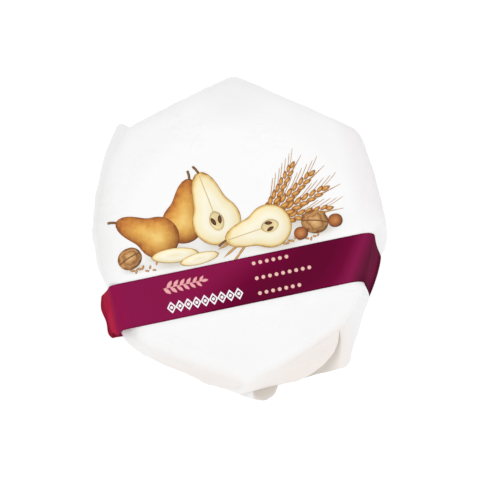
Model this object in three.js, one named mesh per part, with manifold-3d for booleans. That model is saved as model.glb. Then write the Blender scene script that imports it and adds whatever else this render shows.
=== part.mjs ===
// A round soft cheese in white wrapping paper, folded to a soft octagon and held shut by a paper band.
// Millimetres, +Z up. The pack stands on z = 0 and the band crosses its top along X.
import * as THREE from "three";
import { mergeVertices } from "three/addons/utils/BufferGeometryUtils.js";
import Module from "manifold-3d";

const wasm = await Module();
wasm.setup();

// The cheese inside, as it shapes the paper
const PACK_HEIGHT = 25;
const CHEESE_RADIUS = 44.3;
const SHOULDER_ROUND = 4.5; // rounding of the top edge where the paper lies on the cheese
const LEAST_ROUND = 2.6; // rounding of the top edge at a corner that is drawn in
const CORNER_DROP = 3.2; // how far below the top the crease of a corner lies
const CORNER_REACH = 4; // a corner that stands this far out of the cheese is fully a corner
const CORNER_SQUARENESS = 0.62; // exponent of the corner's rounding, 1 is a plain quarter ellipse
const SIDE_BULGE = 0.7; // the soft side pushes the paper out at half height
const FOOT_ROUND = 0.8; // rounding of the edge that stands on the table

// Corners of the octagon, clockwise seen from above. top is the reach and direction of the corner at the
// top crease, base the same at the foot, in mm and degrees from +X. soft is how much of each side its
// rounding takes up. pocket is how deep the corner's pleat is tucked in behind the next side's paper and
// step how far it still lies back at the foot, flap is how far along that side's foot the free edge of
// the paper starts. notch is how far the next side's foot starts inside the corner, so that the corner
// stands out as a folded ear.
const CORNERS = [
  { top: [50.5, 80.6], base: [52.0, 80.4], soft: 2.6, pocket: 0.9, step: 0.3, flap: 11, notch: 0 },
  { top: [49.7, 29.4], base: [51.4, 30.0], soft: 3.2, pocket: 0.4, step: 0.3, flap: 9, notch: 0 },
  { top: [47.3, -13.4], base: [47.8, -13.6], soft: 11, pocket: 0.5, step: 0.3, flap: 6, notch: 0 },
  { top: [44.2, -53.2], base: [53.4, -61.0], soft: 2.6, pocket: 2.6, step: 0.9, flap: 11.8, notch: 0 },
  { top: [48.4, -98.6], base: [50.6, -98.1], soft: 2.0, pocket: 0.6, step: 0.3, flap: 10, notch: 0 },
  { top: [47.6, -144.5], base: [50.2, -149.2], soft: 6, pocket: 0.9, step: 0.3, flap: 8, notch: 0 },
  { top: [47.4, 166.3], base: [49.0, 166.9], soft: 11, pocket: 0.3, step: 0.3, flap: 6, notch: 0 },
  { top: [48.8, 125.6], base: [55.3, 124.3], soft: 1.4, pocket: 0.6, step: 0.3, flap: 5, notch: 5.2 },
];
// How far each side, from its corner to the next one clockwise, bows out at the top crease and the foot
const TOP_BOWS = [0.3, 1.0, 0.5, 0.4, 0.3, 2.0, 1.8, 0.5];
const BASE_BOWS = [0.3, 0.6, -0.9, -0.9, 0.3, 1.6, 1.9, 0];
const FREE_EDGE_SWEEP = 2.1; // above 1 the free edges run down beside the corner and sweep out at the foot
const NOTCH_SWEEP = 0.8; // the same for the ear's hollow
const POCKET_SWEEP = 0.7; // below 1 a pocket is deepest below half height

// Underside, eight paper layers that overlap in a rosette
const LAYER_STEP = 0.5; // how far a layer rises to where it goes under the next one
const ROSETTE_TURN = 24; // degrees that the layers' edges turn on their way to the middle
const UNDER_RINGS = [0.78, 0.52]; // shares of the reach at which the layers' edges bend
const FLAT_MIDDLE = 0.24; // share of the underside's reach that is pressed flat
const LOOSE_TIP_THICKNESS = 0.5;
const LOOSE_TIP = [[4.5, -45], [3.2, -48], [1.2, -50.6], [-2.7, -52.2], [-5.6, -51], [-7.6, -49], [-6, -44]];

// Paper band. Each side has a crease where the band turns down over the shoulder and a foot where it
// turns in under the pack, as [x, y] on the near and on the far edge. The left side is loose and stands
// off. round is how far the crease's rounding reaches along the band.
const BAND_THICKNESS = 0.4;
const BAND_TOP = 25.2; // height of its upper side on the top
const BAND_GAP = 0.3; // clear space round the band
const BAND_CLEARANCE = 0.15; // between its underside and the table
const BAND_LEFT = {
  crease: [[-41.8, -23.1], [-43.3, -8.55]],
  foot: [[-47.9, -22.0], [-48.4, -8.3]],
  round: 2.6,
};
const BAND_RIGHT = {
  crease: [[34.9, -23.1], [41.3, -8.55]],
  foot: [[37.5, -25.9], [43.7, -14.2]],
  round: 3.6,
};
const CREASE_STEPS = 4;
const PAST_EDGE = 0.3; // how far its form runs past its edges before it is cut, as a share of its width
const SLAB_LENGTH = 140; // length of the cutting slab, past both sides of the pack

// Fineness of the faces
const CORNER_STEPS = 3;
const PLEAT_STEPS = 3;
const SIDE_STEPS = 5;
const EDGE_LAP = 0.35; // spacing of the two paper layers at a free edge, along the side
const RIM_STEPS = 4;
const WALL_STEPS = 5;
const SLAB_STEPS = { along: 28, up: 10 };

const WHITE_PAPER = new THREE.MeshStandardMaterial({ color: 0xf8f7f4, roughness: 0.7, metalness: 0 });
const WINE_RED_PAPER = new THREE.MeshStandardMaterial({ color: 0x6e0f3a, roughness: 0.4, metalness: 0 });

function polar(reach, degrees) {
  const angle = THREE.MathUtils.degToRad(degrees);
  return new THREE.Vector2(reach * Math.cos(angle), reach * Math.sin(angle));
}

// Point of a rounded corner, t from 0 on the side before it to 1 on the side after it
function roundedCorner(before, corner, after, cut, t) {
  const start = corner.clone().add(before.clone().sub(corner).setLength(cut));
  const end = corner.clone().add(after.clone().sub(corner).setLength(cut));
  return new THREE.QuadraticBezierCurve(start, corner, end).getPoint(t);
}

// Outline of the pack at a height from 0 at the foot to 1 at the top crease, with one point for each
// column of the surface: the corner's rounding, its pleat, the free edge of the paper over it, the side
function outline(height) {
  const corners = CORNERS.map(({ top, base }) => polar(...base).lerp(polar(...top), height));
  const count = corners.length;
  const columns = [];
  CORNERS.forEach((corner, k) => {
    const here = corners[k];
    const before = corners[(k + count - 1) % count];
    const after = corners[(k + 1) % count];
    const afterNext = corners[(k + 2) % count];
    const nextCut = CORNERS[(k + 1) % count].soft;
    const length = here.distanceTo(after) - corner.soft - nextCut;
    const along = after.clone().sub(here).normalize();
    const outward = new THREE.Vector2(-along.y, along.x);
    const start = here.clone().addScaledVector(along, corner.soft);
    const bow = THREE.MathUtils.lerp(BASE_BOWS[k], TOP_BOWS[k], height);
    const onSide = (f, tuck) =>
      start.clone().addScaledVector(along, f * length).addScaledVector(outward, 4 * f * (1 - f) * bow - tuck);

    for (let i = 0; i < CORNER_STEPS; i += 1) {
      columns.push(roundedCorner(before, here, after, corner.soft, 0.5 + (0.5 * i) / CORNER_STEPS));
    }
    const lap = EDGE_LAP / length;
    const edge = lap + (corner.flap / length) * (1 - height) ** FREE_EDGE_SWEEP;
    const sunk = height ** POCKET_SWEEP;
    const hollow = corner.pocket * 4 * sunk * (1 - sunk) + corner.step * (1 - height);
    const notch = corner.notch * (1 - height) ** NOTCH_SWEEP;
    for (let i = 0; i <= PLEAT_STEPS; i += 1) {
      const share = i / PLEAT_STEPS;
      const f = share * edge;
      columns.push(onSide(f, hollow * share + (i ? notch * (1 - f) : 0)));
    }
    for (let i = 0; i <= SIDE_STEPS; i += 1) {
      const f = edge + lap + ((1 - edge - lap) * i) / SIDE_STEPS;
      columns.push(onSide(f, notch * (1 - f)));
    }
    for (let i = 1; i < CORNER_STEPS; i += 1) {
      columns.push(roundedCorner(here, after, afterNext, nextCut, (0.5 * i) / CORNER_STEPS));
    }
  });
  return columns;
}

// Share of the way from a layer's free edge to the next free edge, for each column
function layerShares(columnCount) {
  const perSide = columnCount / CORNERS.length;
  const firstFree = CORNER_STEPS + PLEAT_STEPS + 1;
  return Array.from({ length: columnCount }, (_, j) => {
    const place = (j - firstFree + columnCount) % perSide;
    return place / (perSide - 1);
  });
}

// Closed solid from rings of equal length between the middles of its two ends
function solidFromRings(rings, firstMiddle, lastMiddle) {
  const count = rings[0].length;
  const positions = [firstMiddle, ...rings.flat(), lastMiddle].flatMap((p) => [p.x, p.y, p.z]);
  const at = (row, column) => 1 + row * count + (column % count);
  const last = 1 + rings.length * count;
  const faces = [];
  for (let j = 0; j < count; j += 1) {
    faces.push(0, at(0, j + 1), at(0, j));
    for (let row = 0; row < rings.length - 1; row += 1) {
      faces.push(at(row, j), at(row, j + 1), at(row + 1, j));
      faces.push(at(row, j + 1), at(row + 1, j + 1), at(row + 1, j));
    }
    faces.push(last, at(rings.length - 1, j), at(rings.length - 1, j + 1));
  }
  const geometry = new THREE.BufferGeometry();
  geometry.setAttribute("position", new THREE.Float32BufferAttribute(positions, 3));
  geometry.setIndex(faces);
  return toManifold(geometry);
}

function toManifold(geometry) {
  geometry.deleteAttribute("normal");
  geometry.deleteAttribute("uv");
  const merged = mergeVertices(geometry, 1e-5);
  const mesh = new wasm.Mesh({
    numProp: 3,
    vertProperties: new Float32Array(merged.attributes.position.array),
    triVerts: new Uint32Array(merged.index.array),
  });
  return new wasm.Manifold(mesh);
}

function toMesh(solid, name, material) {
  const { vertProperties, triVerts } = solid.getMesh();
  const geometry = new THREE.BufferGeometry();
  geometry.setAttribute("position", new THREE.Float32BufferAttribute(vertProperties, 3));
  geometry.setIndex([...triVerts]);
  geometry.computeVertexNormals();
  const mesh = new THREE.Mesh(geometry, material);
  mesh.name = name;
  return mesh;
}

// The folded pack without the band's groove
function packSolid() {
  const top = outline(1);
  const base = outline(0);
  const rise = layerShares(top.length).map((share) => LAYER_STEP * share);
  const place = (point, scale, z) => new THREE.Vector3(point.x * scale, point.y * scale, z);

  const rim = top.map((point) => {
    const beyond = point.length() - CHEESE_RADIUS;
    const corner = THREE.MathUtils.smoothstep(beyond, 0, CORNER_REACH);
    return {
      width: Math.max(LEAST_ROUND, SHOULDER_ROUND + beyond),
      drop: THREE.MathUtils.lerp(SHOULDER_ROUND, CORNER_DROP, corner),
      power: THREE.MathUtils.lerp(1, CORNER_SQUARENESS, corner),
    };
  });

  const rings = [];
  const faceEdge = (j) => 1 - rim[j].width / top[j].length();
  rings.push(top.map((point, j) => place(point, 0.5 * faceEdge(j), PACK_HEIGHT)));
  for (let i = RIM_STEPS; i >= 1; i -= 1) {
    const angle = (Math.PI / 2) * (i / RIM_STEPS);
    rings.push(top.map((point, j) => {
      const { width, drop, power } = rim[j];
      const inset = width * (1 - Math.cos(angle) ** power);
      return place(point, 1 - inset / point.length(), PACK_HEIGHT - drop * (1 - Math.sin(angle) ** power));
    }));
  }
  for (let i = WALL_STEPS; i >= 0; i -= 1) {
    const height = i / WALL_STEPS;
    const bulge = SIDE_BULGE * Math.sin(Math.PI * height);
    rings.push(outline(height).map((point, j) => {
      point.setLength(point.length() + bulge);
      return place(point, 1, THREE.MathUtils.lerp(FOOT_ROUND + rise[j], PACK_HEIGHT - rim[j].drop, height));
    }));
  }
  rings.push(base.map((point, j) => place(point, 1 - FOOT_ROUND / point.length(), rise[j])));
  for (const share of [...UNDER_RINGS, FLAT_MIDDLE]) {
    const turn = THREE.MathUtils.degToRad(ROSETTE_TURN * (1 - share));
    const pressed = (share - FLAT_MIDDLE) / (1 - FLAT_MIDDLE);
    rings.push(base.map((point, j) => {
      return place(point.clone().rotateAround(new THREE.Vector2(), turn), share, rise[j] * pressed);
    }));
  }
  return solidFromRings(rings, new THREE.Vector3(0, 0, PACK_HEIGHT), new THREE.Vector3());
}

// Points up one side of the band on a line across it, from 0 at the near edge to 1 at the far edge. inset
// goes inwards from its outer side, sign is -1 on the left and 1 on the right.
function bandSide({ crease, foot, round }, sign, across, inset) {
  const point = ([near, far], z) => new THREE.Vector3(
    THREE.MathUtils.lerp(near[0], far[0], across) - sign * inset,
    THREE.MathUtils.lerp(near[1], far[1], across),
    z,
  );
  const low = point(foot, BAND_CLEARANCE + inset);
  const corner = point(crease, BAND_TOP - inset);
  const start = corner.clone().add(low.clone().sub(corner).setLength(round));
  const end = corner.clone().setX(corner.x - sign * round);
  return [low, ...new THREE.QuadraticBezierCurve3(start, corner, end).getPoints(CREASE_STEPS)];
}

// Form within the band's path, at a depth below the band's outer side
function bandForm(inset) {
  const rings = [-PAST_EDGE, 1 + PAST_EDGE].map((across) => [
    ...bandSide(BAND_LEFT, -1, across, inset),
    ...bandSide(BAND_RIGHT, 1, across, inset).reverse(),
  ]);
  const middle = (ring) => ring.reduce((sum, p) => sum.add(p), new THREE.Vector3()).divideScalar(ring.length);
  return solidFromRings(rings, middle(rings[0]), middle(rings[1]));
}

// Everything between the band's two edges
function bandSlab(margin) {
  const slab = new THREE.BoxGeometry(SLAB_LENGTH, 2, 2 * PACK_HEIGHT, SLAB_STEPS.along, 1, SLAB_STEPS.up);
  slab.translate(0, 0, PACK_HEIGHT / 2);
  const position = slab.attributes.position;
  const edgeY = (level, edge, x) => {
    const [x0, y0] = BAND_LEFT[level][edge];
    const [x1, y1] = BAND_RIGHT[level][edge];
    return THREE.MathUtils.lerp(y0, y1, (x - x0) / (x1 - x0));
  };
  for (let i = 0; i < position.count; i += 1) {
    const x = position.getX(i);
    const side = Math.sign(position.getY(i));
    const edge = side < 0 ? 0 : 1;
    const depth = THREE.MathUtils.clamp(1 - position.getZ(i) / PACK_HEIGHT, 0, 1);
    const y = THREE.MathUtils.lerp(edgeY("crease", edge, x), edgeY("foot", edge, x), depth);
    position.setY(i, y + side * margin);
  }
  return toManifold(slab);
}

// Corner of the wrapping sheet that peeks out under the near edge
function looseTip() {
  const shape = new THREE.Shape(LOOSE_TIP.map(([x, y]) => new THREE.Vector2(x, y)));
  return toManifold(new THREE.ExtrudeGeometry(shape, { depth: LOOSE_TIP_THICKNESS, bevelEnabled: false }));
}

function wrappedCheese() {
  const groove = bandSlab(BAND_GAP).subtract(bandForm(BAND_THICKNESS + BAND_GAP));
  return toMesh(packSolid().add(looseTip()).subtract(groove), "wrapped_cheese", WHITE_PAPER);
}

function band() {
  const loop = bandForm(0).subtract(bandForm(BAND_THICKNESS));
  return toMesh(loop.intersect(bandSlab(0)), "band", WINE_RED_PAPER);
}

// The pack's middle is the middle of its box, on the table
const pack = new THREE.Group();
pack.add(wrappedCheese(), band());
const middle = new THREE.Box3().setFromObject(pack).getCenter(new THREE.Vector3());
pack.position.set(-middle.x, -middle.y, 0);

export default pack;
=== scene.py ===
import math
from functools import partial

import bpy
import numpy as np
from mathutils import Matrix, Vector, noise


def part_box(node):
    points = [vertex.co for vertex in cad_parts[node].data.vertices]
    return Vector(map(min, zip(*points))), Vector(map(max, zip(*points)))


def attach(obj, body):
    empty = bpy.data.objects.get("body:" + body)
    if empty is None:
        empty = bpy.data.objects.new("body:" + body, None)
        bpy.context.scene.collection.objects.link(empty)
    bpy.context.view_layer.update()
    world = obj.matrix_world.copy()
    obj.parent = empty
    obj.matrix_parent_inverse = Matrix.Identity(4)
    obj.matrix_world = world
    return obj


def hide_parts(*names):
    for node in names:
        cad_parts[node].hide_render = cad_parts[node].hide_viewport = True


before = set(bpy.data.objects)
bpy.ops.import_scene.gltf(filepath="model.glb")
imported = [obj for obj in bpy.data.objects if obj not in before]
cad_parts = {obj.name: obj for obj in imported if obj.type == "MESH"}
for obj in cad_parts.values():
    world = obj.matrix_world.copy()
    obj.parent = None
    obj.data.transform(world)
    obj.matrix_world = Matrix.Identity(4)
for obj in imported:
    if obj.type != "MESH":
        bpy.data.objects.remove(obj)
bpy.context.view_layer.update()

# A round soft cheese in white printed wrapping paper, folded to a soft octagon and shut by a paper band.
# Forms are worked out in millimetres from the middle of the cheese and become metres in the pack's frame.
MM = 0.001

# The pack, with the driving sizes of its construction
PACK_HEIGHT = 25
CHEESE_RADIUS = 44.3
SHOULDER_ROUND = 4.5
LEAST_ROUND = 2.6
CORNER_DROP = 3.2
CORNER_REACH = 4
CORNER_SQUARENESS = 0.62
SIDE_BULGE = 0.7
FOOT_ROUND = 0.8

# Corners, clockwise seen from above. top and base are their reach and direction at the top crease and at the
# foot, soft their rounding and pocket the depth of their pleat. At the foot, step is how far the free edge
# stands off, flap how far it has run along the side, and notch how far the side is set back.
CORNERS = [dict(zip(("top", "base", "soft", "pocket", "step", "flap", "notch"), sizes)) for sizes in (
    ((50.5, 80.6), (52.0, 80.4), 2.6, 1.5, 0.3, 11, 0),
    ((49.7, 29.4), (51.4, 30.0), 3.2, 1.1, 0.3, 9, 0),
    ((47.3, -13.4), (48.4, -13.8), 10, 0.8, 0.3, 6, 0),
    ((44.2, -53.2), (53.4, -61.2), 2.1, 2.6, 0.3, 15.2, 0),
    ((48.4, -98.6), (49.5, -102.2), 2.0, 0.4, 0.2, 10, 0),
    ((47.6, -144.5), (50.2, -149.2), 6, 0.4, 0.3, 8, 0),
    ((46.0, 166.3), (47.9, 167.2), 3, 0.15, 0.05, 6, 0),
    ((48.9, 125.9), (55.6, 124.7), 1.4, 0.9, 0.3, 5, 5.2),
)]
TOP_BOWS = [0.3, 1.0, 0.5, 0.4, 0.3, 2.0, 1.8, 0.5]  # how far the sides bow out between the corners
BASE_BOWS = [0.3, 0.2, -0.9, 0.2, 0.65, 1.6, 1.9, 0]
FREE_EDGE_SWEEP = 2.05
NOTCH_SWEEP = 0.8
NOTCH_FADE = (0.8, 1)  # shares of the way out between which the notches fade under the pack
POCKET_SWEEP = 0.7
PLEAT_ROLL = 1.25  # above 1 the paper rolls softly from the corner into its pleat
LAYER_STEP = 0.5
ROSETTE_TURN = 24
FLAT_MIDDLE = 0.24
LEAST_HEIGHT = 0.02
WALL_FACING = (1.5, 1.7)  # rows that face between these directions, in radians from straight up, are walls

# Soft relief of the paper
FACE_RELIEF = 0.10
WALL_RELIEF = 0.42
RELIEF_SIZE = 15
CRUMPLE_SIZE = 6.5
FINE_CRUMPLE = 2.3  # how many times finer the finest crumples are
CRUMPLE_MIX = (0.5, 0.32, 0.12)  # broad relief, folds and finest crumples
DRAPE = 0.45  # upright folds of the walls, deepest at the foot
DRAPE_SIZE = 9
DRAPE_UPRIGHT = 0.004  # how little they change on their way up
DRAPE_LEVEL = 0.6
EDGE_CURL = 0.35  # how far a free edge lifts off at the foot
EDGE_CURL_WIDTH = 2.2
SHUT_POCKET = 0.4  # a pocket less deep than this is almost shut, and its edge lifts less
BEND_SOFTNESS = 0.25

# Paper band: its two edges, the near one and the far one, where they turn down over the shoulder and
# where they turn in under the pack. waist is how far the far edge hangs in before it turns out again,
# bulge how far the foot bows out, clip how far its far corner is rounded off, and fan how fast the paper
# comes out again beside the near and the far edge. nip is how far out the paper lies at the far edge.
BAND_SHEET = 0.16
BAND_PRESS = 0.3
BAND_LEFT = dict(crease=[(-41.8, -23.1), (-43.3, -8.55)], foot=[(-47.9, -22.0), (-48.4, -8.3)],
                 round=2.6, waist=0.5, bulge=0, clip=0.5, fan=(1.8, 2.2), nip=44.5)
BAND_RIGHT = dict(crease=[(34.8, -23.05), (41.3, -8.55)], foot=[(37.2, -26.3), (44.1, -14.2)],
                  round=5.0, waist=0.6, bulge=0.5, clip=0.3, fan=(0.6, 2.2), nip=50)
BAND_HALF = 40  # from the middle to where one side alone says how the band's edges run
BAND_FOOT_ROUND = 1.2
BAND_WIDTH = 14.55
BAND_BOTTOM = 0.36  # height of the band's upper layer under the pack
BAND_LIFT = 0.12  # clear space between the paper and the middle of the band's sheet
CLIP_WIDTH = 0.12
FAN_START = 1.2  # the paper first stays in beside the band's edge, over about this distance
NIP_SPREAD = (0.24, 1.0)  # how fast the nipped paper comes out again beside the band and behind it
PRESSED_FACE = (0.1, 1.6)  # distances from the band between which the face comes up again
PRESSED_FOOT = (0.1, 2.0)  # and the underside comes down
PRESS_FROM = 10  # the paper is pressed in from the sides beyond this reach
PRESS_MARGIN = 0.01
EXPONENT_LIMIT = 30  # keeps the softened bend within the range of numbers
FREE_PAPER = 4  # the relief has its full depth at this distance from the band
LAP = (0.42, 0.58)  # the glued lap under the pack, as shares of the way from left to right
LAP_GAP = 0.04
LAP_SLOPE = (2, 20)  # the lower layer slopes down from this far off its left end to this far off its right

# Waves of the band's loose left end
FOOT_WAVE = dict(depth=0.35, crest=0.7, length=0.66, growth=1.5)
NEAR_CORNER_PULL = 1.5
NEAR_CORNER_WIDTH = 0.09
LOBE_DEPTH = 0.9
LOBE_REACH = 0.2
LOBES = [(0.38, 0.16, 1), (0.7, 0.11, -0.85), (0.97, 0.12, 0.3)]  # share of the way down, width and size

# Loose tip of the sheet under the near edge
LOOSE_TIP = [
    (4, -45), (2.6, -48), (0.8, -50.8), (-2.6, -52.2), (-5.8, -51.0), (-8, -49.9), (-10.8, -48.2), (-10, -44),
]
TIP_ROOT_Y = -43.0
TIP_HEIGHT = 1.3
TIP_EDGE = 0.35
TIP_CURL = 0.35
TIP_WAVE = 0.15
TIP_WAVE_TURN = 0.9  # radians of the wave in a millimetre
TIP_THICKNESS = 0.16
TIP_SMOOTHING = np.array([1, 2, 3, 2, 1]) / 9
TIP_FOLD = -5.9  # left of here the tip is folded over and shows the sheet's white side
TIP_FOLD_WIDTH = 0.2
TIP_RIM = (0.86, 0.4)  # from this share of its length on it is paler, by this much at its edge

# Colours of the paper as they show, 0 to 255, with the painted light and shade laid on it
WHITE = (251, 251, 251)
# Painted warm light from the near side on the walls
WARM_LIT_WHITE = (246, 238, 233)
# Inner side of the sheet, darkened with painted shade deep in the pleats and on the loose tip
LINING_AND_SHADE = (214, 206, 197)
LINING_SHADE_WIDTH = 0.42
LINING_SHADE_FADE = (0.75, 1.0)  # heights between which the lining and its painted shade fade towards the top crease
FOLD_SHADE = (196, 188, 178)
FOLD_DEPTH = 0.5
FOLD_BELOW = (1, 1.2)  # strength and reach of the shade below a free edge
FOLD_ON_EDGE = (0.5, 0.4)  # and on the edge
FOLD_FADE = (0.6, 0.85)  # heights between which the shade ends
WALL_WARM_LIGHT = [  # place in sides from the first corner, and how strong the painted warm light on the wall is there
    (2.75, 0), (3.1, 0.9), (3.6, 1), (3.97, 0.4), (4.1, 0.35), (4.45, 0.85), (4.75, 0.7), (4.95, 0.25),
    (5.1, 0),
]
WARM_LIGHT_FACING = (0.3, 1.6)  # directions between which a row takes on the painted warm light
WARM_LIGHT_AT_TOP = 0.75
WARM_LIGHT_DEPTH = 0.6  # share of the way down at which the painted warm light is full
RIM_SHADES_Y = (-10, 4)  # soft painted shades on the rims lie beyond this Y and above this Z
RIM_SHADES_Z = (14, 22)
PAINTED_RIM_SHADES = [  # from and to X, strength and colour
    (36, 42.5, 0.26, (232, 218, 225)), (-34, -42, 0.2, (226, 228, 219)),
]
TOP_FACE = (23.5, 24.3)
FAR_SHADE = (222, 221, 221)  # painted shade at the far corner
FAR_SHADOW = ((7.5, 44), (17, 14), 0.19)
EDGE_SHADE = 0.97  # painted shade of the face towards its far edges
EDGE_SHADE_FROM = 0.76
EDGE_SHADE_Y = (-20, 40, 0.4, 1.0)  # from Y to Y, and how strong the shade is there
NEAR_SHADE = 0.975  # painted shade of the paper on the near side of the band
NEAR_Y = (-18, -30)
DEEP_POCKET = 2.6  # a pocket as deep as this shows its lining and painted shade in full
CREASE_SCALE = 42.0
CREASE_WIDTH = 0.09
CREASE_BEND = 0.006
CREASE_BEND_SCALE = 71.4
CRINKLE_SCALE = 190.0  # fine crinkles that lie in patches
CRINKLE_PATCH_SCALE = 47.5
CRINKLE_PATCHES = (0.52, 0.68, 0.0, 17.0)  # between these values of the noise the crinkles grow this high
FIBRE_HEIGHT = 0.05
BUMP_STRENGTH = 0.5
BUMP_DISTANCE = 0.3

# Colours of the band, with its painted sheen and shade
BAND_REACH = 50
BAND_MIDDLE_Y = -15.8
TOP_SLANT = 2.0  # of the sheen on the band's top, which the colours follow
TOP_SLANT_X = (-28, -4)
RIGHT_SLANT = 0.66  # and of the sheen along the right crease
RIGHT_SLANT_X = (8, 31)
# The band's wine colour with painted light: brighter on the loose left end, a painted highlight at the right
# crease
BAND_COLOURS_AND_SHEEN = [  # along the band, from its loose left end to the right, with painted sheen
    (-48.5, (192, 36, 70)), (-44.2, (180, 34, 68)), (-42.6, (148, 24, 76)), (-37.0, (138, 27, 76)),
    (-17.0, (138, 25, 73)), (0.0, (112, 11, 54)), (12.0, (99, 13, 48)), (25.0, (100, 13, 49)),
    (30.4, (112, 14, 56)), (34.6, (136, 29, 76)), (39.0, (98, 29, 55)), (43.5, (120, 19, 62)),
]
BAND_RIM = 0.036  # width of the dark line inside the band's long edges, as a share of its width
RIM_TONE = 0.74
# Painted shade on the band's right end, towards its near tip
RIGHT_TIP_X = (32, 36)
RIGHT_TIP_Y = (-19, -26)
RIGHT_TIP_SHADE = 0.5
FOOT_SHADE = 0.5  # painted shade of the band where it turns in under the pack
FOOT_BOTTOM_Z = (0.5, 1.5)
FOOT_TOP_Z = (4, 8.5)
BLOTCH_SCALE = 280.0  # uneven tone of the band's loose end
BLOTCH_X = (-43, -45, 0.0, 0.6)  # it grows between these two, from nothing to this much

# Print: soft shades on the paper, films of ink with their colours from the middle to the rim
FILM = 0.008  # thickness of a film
PRINT_LIFT = 0.04  # and its clear space from the paper
LAYER_LIFT = 0.012  # from one layer of ink to the next
PAINT_LIGHT = np.array([-0.45, 0.52, 0.73])
PAINT_SHADE = 0.62  # painted light where none falls
PAINT_HIGHLIGHT = 1.25
STROKE_LIGHT = [0.75, 0.95, 1.0]
STROKE_WIDENING = 4  # how fast a stroke widens from its ends
STROKE_END = 1.02  # above 1 its far end is a little blunt
GROUND_SHADE = (205, 197, 180)
GROUND_SHADOWS = [  # middle, reach and strength of the soft shadows that the pictured things cast
    ((-10, -3.0), (31, 9.0), 0.30), ((15, -3.0), (24, 8.0), 0.30),
    ((-24, -2.6), (9.0, 4.5), 0.75), ((-5.0, -2.2), (8.5, 4.0), 0.75), ((11.5, -6.0), (9.5, 3.2), 0.75),
    ((18.5, 0.5), (6.0, 5.5), 0.55), ((25.0, -4.6), (6.5, 2.6), 0.7), ((-34.5, -5.0), (5.5, 2.2), 0.6),
    ((-20.0, -6.0), (11.0, 2.2), 0.6),
]
OVALS = {  # half length, half width, power, how steep it is painted, rings and spokes
    "kernel": (1.95, 0.85, 1.7, 1.2, 4, 14),
    "core": (0.42, 0.3, 1.8, 0.5, 5, 28),
    "seed": (0.19, 0.085, 1.6, 0.8, 4, 16),
    "slice": (7.6, 2.3, 1.9, 0.5, 9, 44),
    "short_slice": (6.4, 1.8, 1.9, 0.4, 8, 40),
    "walnut": (1, 0.86, 2.1, 1.2, 9, 32),
    "hazelnut": (1, 0.92, 2.2, 1.3, 8, 28),
    "leaf": (1.5, 0.62, 1.45, 0.2, 4, 20),
    "lozenge": (1.45, 1.9, 1.05, 0, 3, 24),
    "lozenge_dot": (0.5, 0.5, 2, 0, 2, 14),
    "dot": (0.62, 0.62, 2, 0, 2, 16),
}
PEAR_NECK = 1.15
PEAR_NECK_WIDTH = 0.42
PEAR_RINGS, PEAR_SPOKES = 20, 72
PEAR_STEEPNESS = 1.3
HALF_STEEPNESS = 0.28
STEM_SUNK = 0.5
KERNEL_STEP = 1.25
KERNELS = 14
INK_ROUGHNESS = 0.5
INKS = {
    "grain": dict(stops=[(0, (233, 186, 112)), (0.55, (205, 142, 66)), (1, (150, 84, 32))], speck=0.35),
    "skin": dict(stops=[(0, (246, 208, 122)), (0.5, (226, 168, 78)), (0.85, (192, 118, 46)),
                        (1, (150, 84, 34))], speck=0.45, speck_scale=700.0),
    "flesh": dict(stops=[(0, (244, 234, 196)), (0.5, (251, 245, 222)), (0.86, (247, 232, 186)),
                         (0.95, (226, 190, 112)), (1, (176, 112, 46))], speck=0.1, speck_scale=500.0),
    "core": dict(stops=[(0, (224, 200, 142)), (0.7, (236, 218, 170)), (1, (214, 184, 122))], speck=0.3),
    "seed": dict(stops=[(0, (120, 70, 36)), (1, (66, 36, 20))], speck=0.1),
    "stem": dict(stops=[(0, (150, 104, 60)), (1, (104, 64, 34))], speck=0.3),
    "walnut": dict(stops=[(0, (226, 184, 126)), (0.45, (196, 144, 86)), (0.6, (150, 100, 56)),
                          (0.75, (200, 148, 90)), (1, (138, 88, 46))], speck=1.1, speck_scale=420.0),
    "hazelnut": dict(stops=[(0, (206, 140, 82)), (0.6, (176, 104, 52)), (1, (122, 66, 32))], speck=0.3,
                     stretch=(1, 0.3, 1)),
}
EARS_FROM = np.array([7.0, 0.6])
EARS = [(2, 0.98), (18, 1.05), (34, 1.02), (51, 0.94)]  # direction in degrees and size
EAR_START = 4.5  # from where the ears meet to their first kernels
STALK_LENGTH = 16
GOLDEN_PEARS = [((-17.0, 6.2), 6.6, 70), ((-25.5, 3.2), 6.6, 149)]  # middle, size and direction
PEAR_HALVES = [((-6.5, 4.6), 7.7, 99), ((9.5, -0.3), 6.9, -173)]
PEAR_SLICES = [((-21.5, -3.4), 1, -5)]  # a pair of them
WALNUTS = [((-35.6, -1.6), 3.9, 20), ((23.6, -1.9), 4.3, -15)]
HAZELNUTS = [((30.0, -2.8), 2.3, 0), ((18.6, -4.6), 2.2, 0)]
LOOSE_GRAINS = [((19, -6.6), 12, 10), ((-31, -5.6), 9, 8)]  # middle, length and number
BAND_INKS = {
    "salmon": [(0, (244, 178, 180)), (1, (236, 164, 168))],
    "white": [(0, (254, 252, 254)), (1, (252, 248, 252))],
    "peach": [(0, (246, 204, 192)), (1, (238, 190, 178))],
}
SPRIG = dict(start=-26.9, to=-12.0, y=-13.0, leaves=12, tip=2.5)
CHAIN = dict(start=-27.2, to=-3.1, y=-19.3, lozenges=9, hole=0.62)
DOT_ROWS = dict(start=2.1, spacing=2.1, y=[-10.9, -15.7, -20.5], counts=[6, 9, 7])

# Studio
SKY = 0.70
LIGHTS = {
    "key": dict(place=(0.03, 0.0, 1.2), size=0.9, power=4.1),
    "near": dict(place=(-0.15, -0.85, 0.45), size=0.6, power=0.8),
}
FLOOR_HALF = 3
FLOOR_SHARE = 0.3
FLOOR_GLOW = 0.78
FLOOR_ROUGHNESS = 0.9

# Camera at the photo's viewing angle
CAMERA_AZIMUTH = -11.8
CAMERA_ELEVATION = 82
CAMERA_DISTANCE = 0.75
IMAGE_SIZE = 480
PIXEL = 0.314 * MM  # on the top face
TOP_MIDDLE_PIXEL = (240, 231)  # where the middle of the cheese's top shows
SENSOR = 36

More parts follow.
